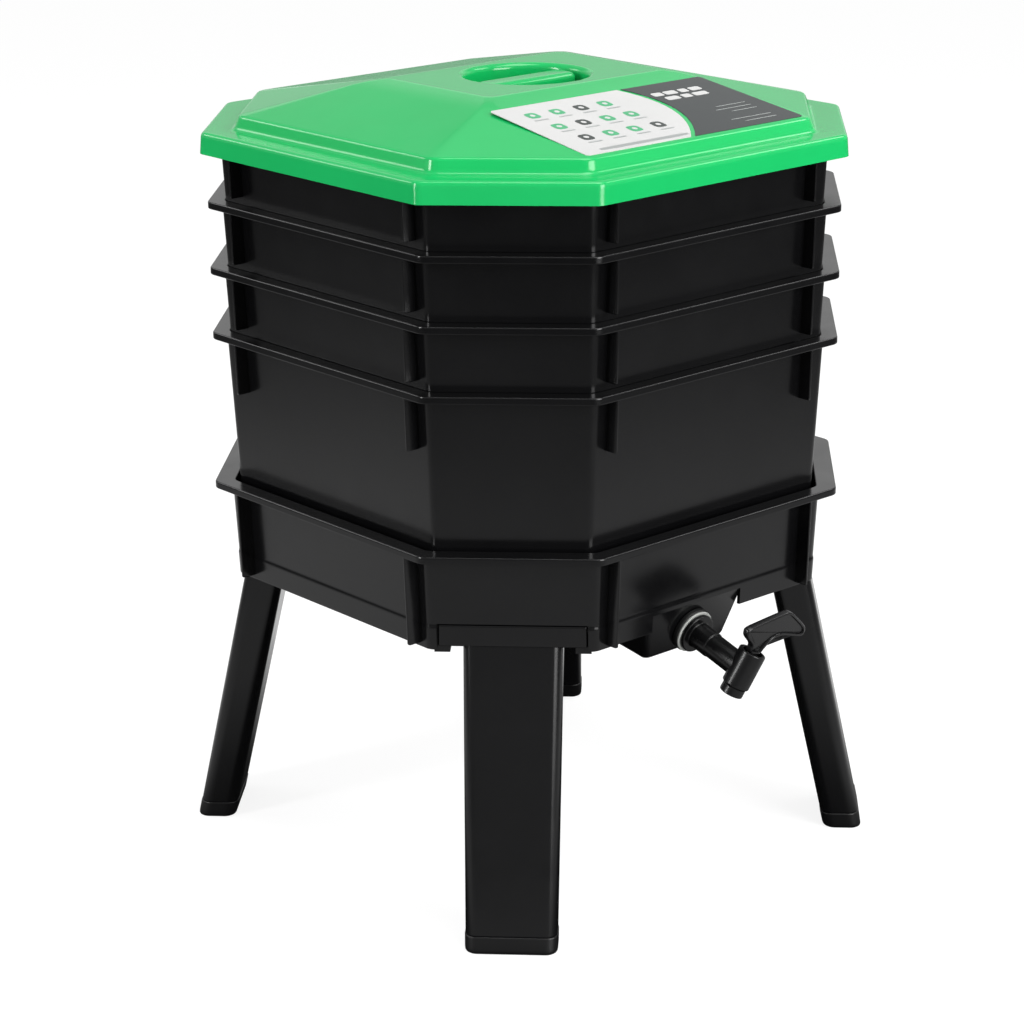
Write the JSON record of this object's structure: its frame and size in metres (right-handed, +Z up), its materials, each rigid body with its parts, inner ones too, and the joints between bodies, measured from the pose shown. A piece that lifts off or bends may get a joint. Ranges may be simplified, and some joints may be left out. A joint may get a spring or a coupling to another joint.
{
  "type": "wormery",
  "caption": "Octagonal stacking worm composter: green lid with a recessed grip, nested perforated trays, a liquid collector with a tap, and splayed legs.",
  "frame": {"origin": "on the floor under the feet, on the vertical centre line of the stack of trays", "axes": "+Z up through the stack; the tap stands out along -Y; +X is to the right when the tap is looked at"},
  "size_m": [0.4206, 0.4681, 0.5889],
  "materials": {
    "black_plastic": "satin black moulded polypropylene",
    "cap_rubber": "black moulded rubber foot cap",
    "seal_rubber": "black rubber sealing washer",
    "washer_plastic": "light grey moulded washer",
    "tap_plastic": "black moulded plastic, slightly glossy",
    "lid_plastic": "bright green moulded polypropylene, glossy",
    "label_light": "pale printed label film",
    "label_dark": "dark printed label film"
  },
  "bodies": {
    "base": {"collector_tray": "black_plastic", "leg_1": "black_plastic", "foot_cap_1": "cap_rubber", "leg_2": "black_plastic", "foot_cap_2": "cap_rubber", "leg_3": "black_plastic", "foot_cap_3": "cap_rubber", "leg_4": "black_plastic", "foot_cap_4": "cap_rubber", "tap_gasket": "seal_rubber", "tap_washer": "washer_plastic", "tap_body": "tap_plastic", "tap_inner_seal": "seal_rubber", "tap_nut": "tap_plastic"},
    "tap_lever": {"tap_lever": "tap_plastic"},
    "tray_4": {"tray_4": "black_plastic"},
    "tray_3": {"tray_3": "black_plastic"},
    "tray_2": {"tray_2": "black_plastic"},
    "tray_1": {"tray_1": "black_plastic"},
    "lid": {"lid": "lid_plastic", "label_panel_light": "label_light", "label_panel_dark": "label_dark"}
  },
  "joints": [
    {"name": "tap_turn", "type": "hinge", "parent": "base", "child": "tap_lever", "pos_m": [-0.0115, -0.24321, 0.19033], "axis": [-0.342, 0.2747, -0.8986], "range_deg": [0, 90]},
    {"name": "tray_4_lift", "type": "slide", "parent": "base", "child": "tray_4", "axis": [0, 0, 1], "range_m": [0, 0.12]},
    {"name": "tray_3_lift", "type": "slide", "parent": "tray_4", "child": "tray_3", "axis": [0, 0, 1], "range_m": [0, 0.12]},
    {"name": "tray_2_lift", "type": "slide", "parent": "tray_3", "child": "tray_2", "axis": [0, 0, 1], "range_m": [0, 0.12]},
    {"name": "tray_1_lift", "type": "slide", "parent": "tray_2", "child": "tray_1", "axis": [0, 0, 1], "range_m": [0, 0.12]},
    {"name": "lid_lift", "type": "slide", "parent": "tray_1", "child": "lid", "axis": [0, 0, 1], "range_m": [0, 0.12]}
  ]
}
